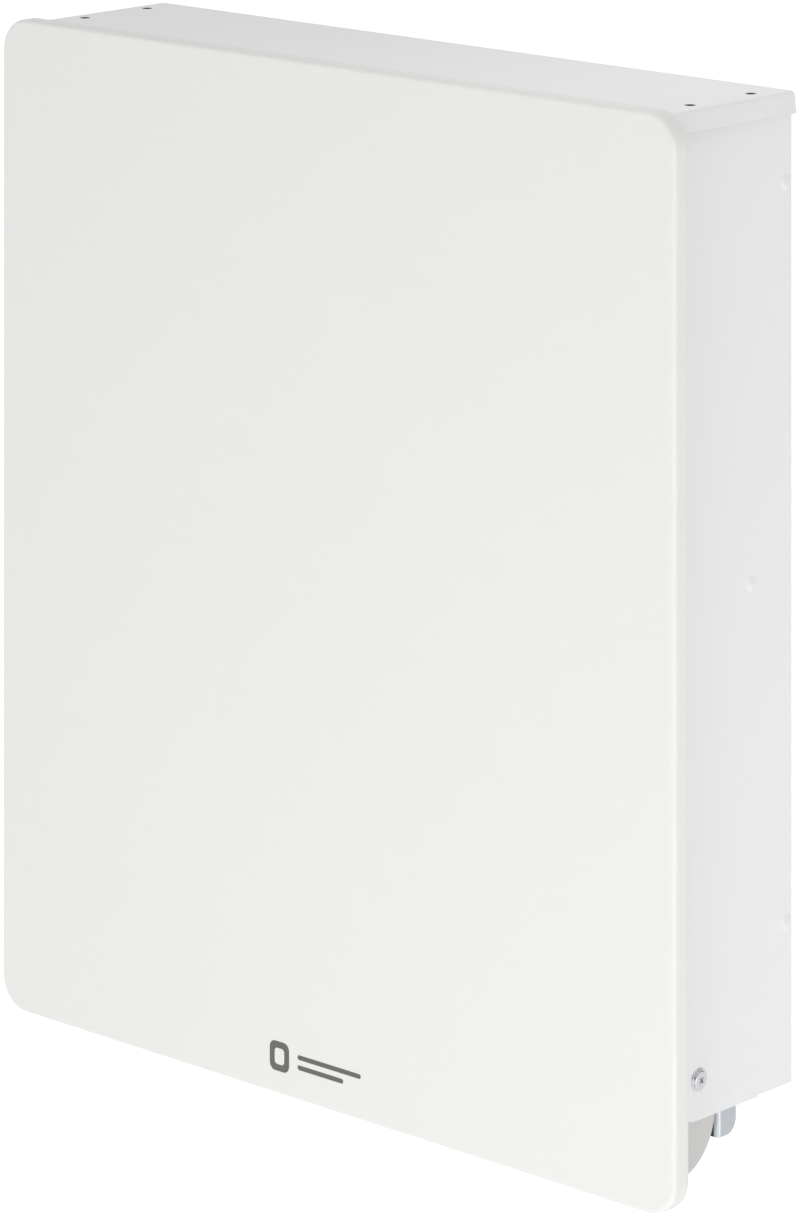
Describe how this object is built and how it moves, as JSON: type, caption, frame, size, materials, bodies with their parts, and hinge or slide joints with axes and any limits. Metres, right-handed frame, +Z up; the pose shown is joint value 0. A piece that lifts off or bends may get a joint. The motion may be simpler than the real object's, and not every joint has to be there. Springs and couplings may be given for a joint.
{
  "type": "wall-mounted folding changing table",
  "caption": "Shallow wall box closed by a full-size rounded flap that folds down on two low side bolts, held by gas struts, to make a level padded changing surface.",
  "frame": {"origin": "centre of the wall fixing pattern, on the wall plane", "axes": "+Z up, -Y out of the wall towards the user (the front), +X to the user's right when facing the wall"},
  "size_m": [0.619, 0.1448, 0.7],
  "materials": {
    "flap_paint": "warm white satin lacquer on fibreboard",
    "box_paint": "white powder coat",
    "grey_paint": "light grey powder coat",
    "strut_paint": "black satin paint",
    "zinc_steel": "zinc plate",
    "chrome_steel": "polished",
    "dark_steel": "dark oxide",
    "bearing_plastic": "natural nylon",
    "catch_plastic": "white moulded",
    "buckle_plastic": "grey moulded",
    "rubber_pad": "matt rubber",
    "mat_cover": "wipe-clean vinyl-coated fabric over foam",
    "strap_fabric": "woven webbing"
  },
  "bodies": {
    "wall_box": {"back_plate": "box_paint", "bottom_plate": "box_paint", "catch_housings": "catch_plastic", "catch_magnets": "dark_steel", "hinge_bolt_left": "chrome_steel", "hinge_bolt_right": "chrome_steel", "hinge_bush_left": "bearing_plastic", "hinge_bush_right": "bearing_plastic", "hinge_nut_left": "zinc_steel", "hinge_nut_right": "zinc_steel", "hinge_washers": "zinc_steel", "lower_shelf": "box_paint", "middle_shelf": "box_paint", "rack_side_left": "box_paint", "rack_side_right": "box_paint", "shelf_rails": "chrome_steel", "side_panel_left": "box_paint", "side_panel_right": "box_paint", "stop_bracket_left": "zinc_steel", "stop_bracket_right": "zinc_steel", "strut_clips": "zinc_steel", "strut_stud_left": "zinc_steel", "strut_stud_right": "zinc_steel", "top_cover": "box_paint", "top_cover_screws": "dark_steel", "upper_shelf": "box_paint"},
    "flap": {"arm_rivet_left": "zinc_steel", "arm_rivet_right": "zinc_steel", "bracket_screws_left": "zinc_steel", "bracket_screws_right": "zinc_steel", "buckle_socket": "buckle_plastic", "buckle_tongue": "buckle_plastic", "catch_strikes": "zinc_steel", "changing_mat": "mat_cover", "closing_bumpers": "rubber_pad", "flap_board": "flap_paint", "hinge_bracket_left": "grey_paint", "hinge_bracket_right": "grey_paint", "mat_studs": "catch_plastic", "stop_arm_left": "zinc_steel", "stop_arm_right": "zinc_steel", "stop_buffer_left": "rubber_pad", "stop_buffer_right": "rubber_pad", "strap_anchor_left": "catch_plastic", "strap_anchor_right": "catch_plastic", "strap_webbing_left": "strap_fabric", "strap_webbing_right": "strap_fabric"},
    "strut_tube_left": {"strut_gland_left": "bearing_plastic", "strut_tube_left": "strut_paint"},
    "strut_rod_left": {"strut_end_left": "zinc_steel", "strut_piston_left": "bearing_plastic", "strut_rod_left": "chrome_steel"},
    "strut_tube_right": {"strut_gland_right": "bearing_plastic", "strut_tube_right": "strut_paint"},
    "strut_rod_right": {"strut_end_right": "zinc_steel", "strut_piston_right": "bearing_plastic", "strut_rod_right": "chrome_steel"}
  },
  "joints": [
    {"name": "flap_hinge", "type": "hinge", "parent": "wall_box", "child": "flap", "pos_m": [0, -0.0951, -0.307], "axis": [1, 0, 0], "range_deg": [0, 90]},
    {"name": "strut_swing_left", "type": "hinge", "parent": "wall_box", "child": "strut_tube_left", "pos_m": [-0.271, -0.0415, 0.0014], "axis": [1, 0, 0], "range_deg": [-4.04, 0]},
    {"name": "strut_slide_left", "type": "slide", "parent": "strut_tube_left", "child": "strut_rod_left", "axis": [0, -0.2606, -0.9654], "range_m": [0, 0.08231]},
    {"name": "strut_swing_right", "type": "hinge", "parent": "wall_box", "child": "strut_tube_right", "pos_m": [0.271, -0.0415, 0.0014], "axis": [1, 0, 0], "range_deg": [-4.04, 0]},
    {"name": "strut_slide_right", "type": "slide", "parent": "strut_tube_right", "child": "strut_rod_right", "axis": [0, -0.2606, -0.9654], "range_m": [0, 0.08231]}
  ],
  "couplings": [
    {"joint": "strut_swing_left", "follows": "flap_hinge", "ratio": -0.044285},
    {"joint": "strut_slide_left", "follows": "flap_hinge", "m_per_rad": 0.052078},
    {"joint": "strut_swing_right", "follows": "flap_hinge", "ratio": -0.044285},
    {"joint": "strut_slide_right", "follows": "flap_hinge", "m_per_rad": 0.052078}
  ]
}
